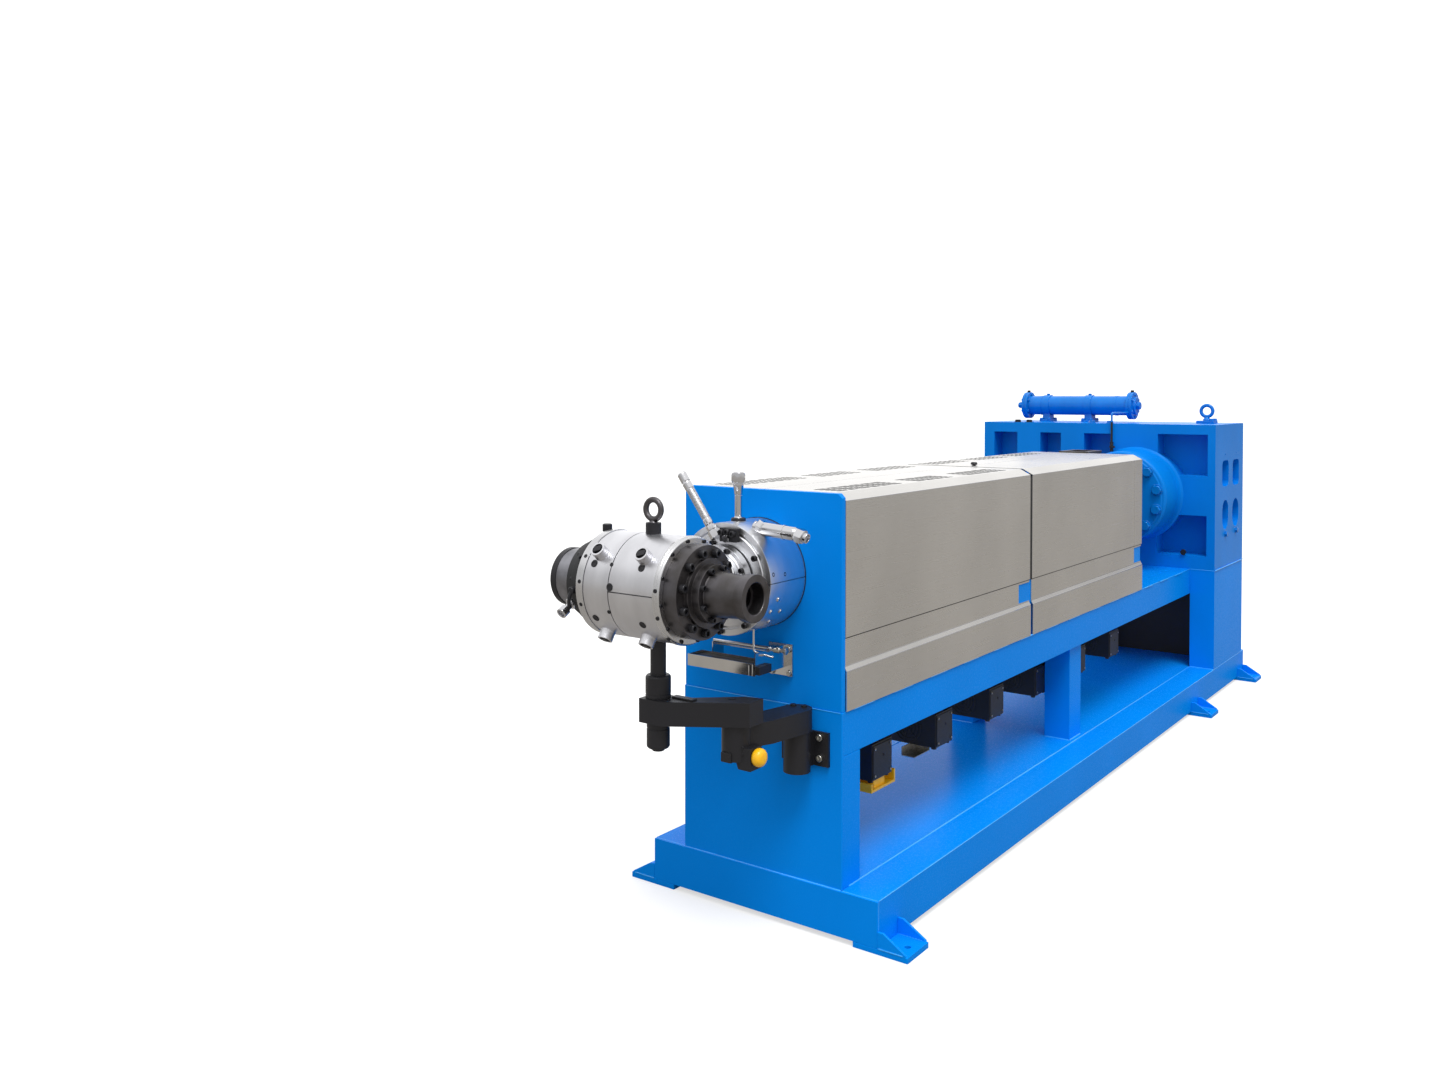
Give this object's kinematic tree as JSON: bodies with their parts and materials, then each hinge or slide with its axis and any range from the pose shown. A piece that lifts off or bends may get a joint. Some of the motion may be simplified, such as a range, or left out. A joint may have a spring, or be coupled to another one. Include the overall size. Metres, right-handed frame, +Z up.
{
  "type": "plastic extruder",
  "caption": "Single screw plastic extruder on a welded base, with hooded barrel, gearbox, oil cooler and a wire covering crosshead on a swing arm.",
  "frame": {"origin": "on the floor, below the screw axis, in the plane of the end plate's front face", "axes": "+Y along the screw axis from the head to the gearbox, +X to the side where the die nozzle points, +Z up"},
  "size_m": [1.317, 4.573, 1.521],
  "materials": {
    "blue_paint": "gloss enamel on steel",
    "stainless": "brushed stainless sheet",
    "cast_aluminium": "machined cast aluminium",
    "polished_steel": "polished steel",
    "dark_steel": "nitrided steel",
    "black_oxide": "black oxide",
    "black_sheet": "black powder coat",
    "yellow_plastic": "moulded"
  },
  "bodies": {
    "machine": {"base_beams": "blue_paint", "base_cross_members": "blue_paint", "floor_plate": "blue_paint", "anchor_feet": "blue_paint", "front_panel": "blue_paint", "posts": "blue_paint", "rails": "blue_paint", "bed_plate": "blue_paint", "pedestal_sides": "blue_paint", "pedestal_back": "blue_paint", "gearbox_shelf": "blue_paint", "end_plate": "blue_paint", "hoods_front": "stainless", "hoods_rear": "stainless", "skirts": "stainless", "hood_closing_plate": "stainless", "barrel": "dark_steel", "screw": "polished_steel", "barrel_heaters": "cast_aluminium", "blowers": "black_sheet", "blower_guard": "yellow_plastic", "feed_block": "dark_steel", "gearbox_housing": "blue_paint", "bearing_housing": "blue_paint", "input_shaft": "dark_steel", "gearbox_eyebolt": "blue_paint", "cooler_shell": "blue_paint", "cooler_saddles": "blue_paint", "cooler_pipe": "dark_steel", "barrel_clamp": "polished_steel", "clamp_sensors": "polished_steel", "drip_tray": "stainless", "arm_bracket": "black_oxide"},
    "inner_arm": {"arm_inner": "black_oxide", "arm_knob": "yellow_plastic"},
    "head": {"arm_outer": "black_oxide", "support_rod": "black_oxide", "neck": "cast_aluminium", "head_body": "cast_aluminium", "head_heaters": "cast_aluminium", "head_bosses": "cast_aluminium", "die_flange": "dark_steel", "die_nozzle": "dark_steel", "guide_rings": "black_oxide", "guide_tube": "dark_steel", "head_eyebolt": "dark_steel"}
  },
  "joints": [
    {"name": "bracket_hinge", "type": "hinge", "parent": "machine", "child": "inner_arm", "pos_m": [0.16, -0.05, 0.6], "axis": [0, 0, 1], "range_deg": [0, 75]},
    {"name": "elbow_hinge", "type": "hinge", "parent": "inner_arm", "child": "head", "pos_m": [0.115, -0.272, 0.66], "axis": [0, 0, 1], "range_deg": [0, 50]}
  ]
}
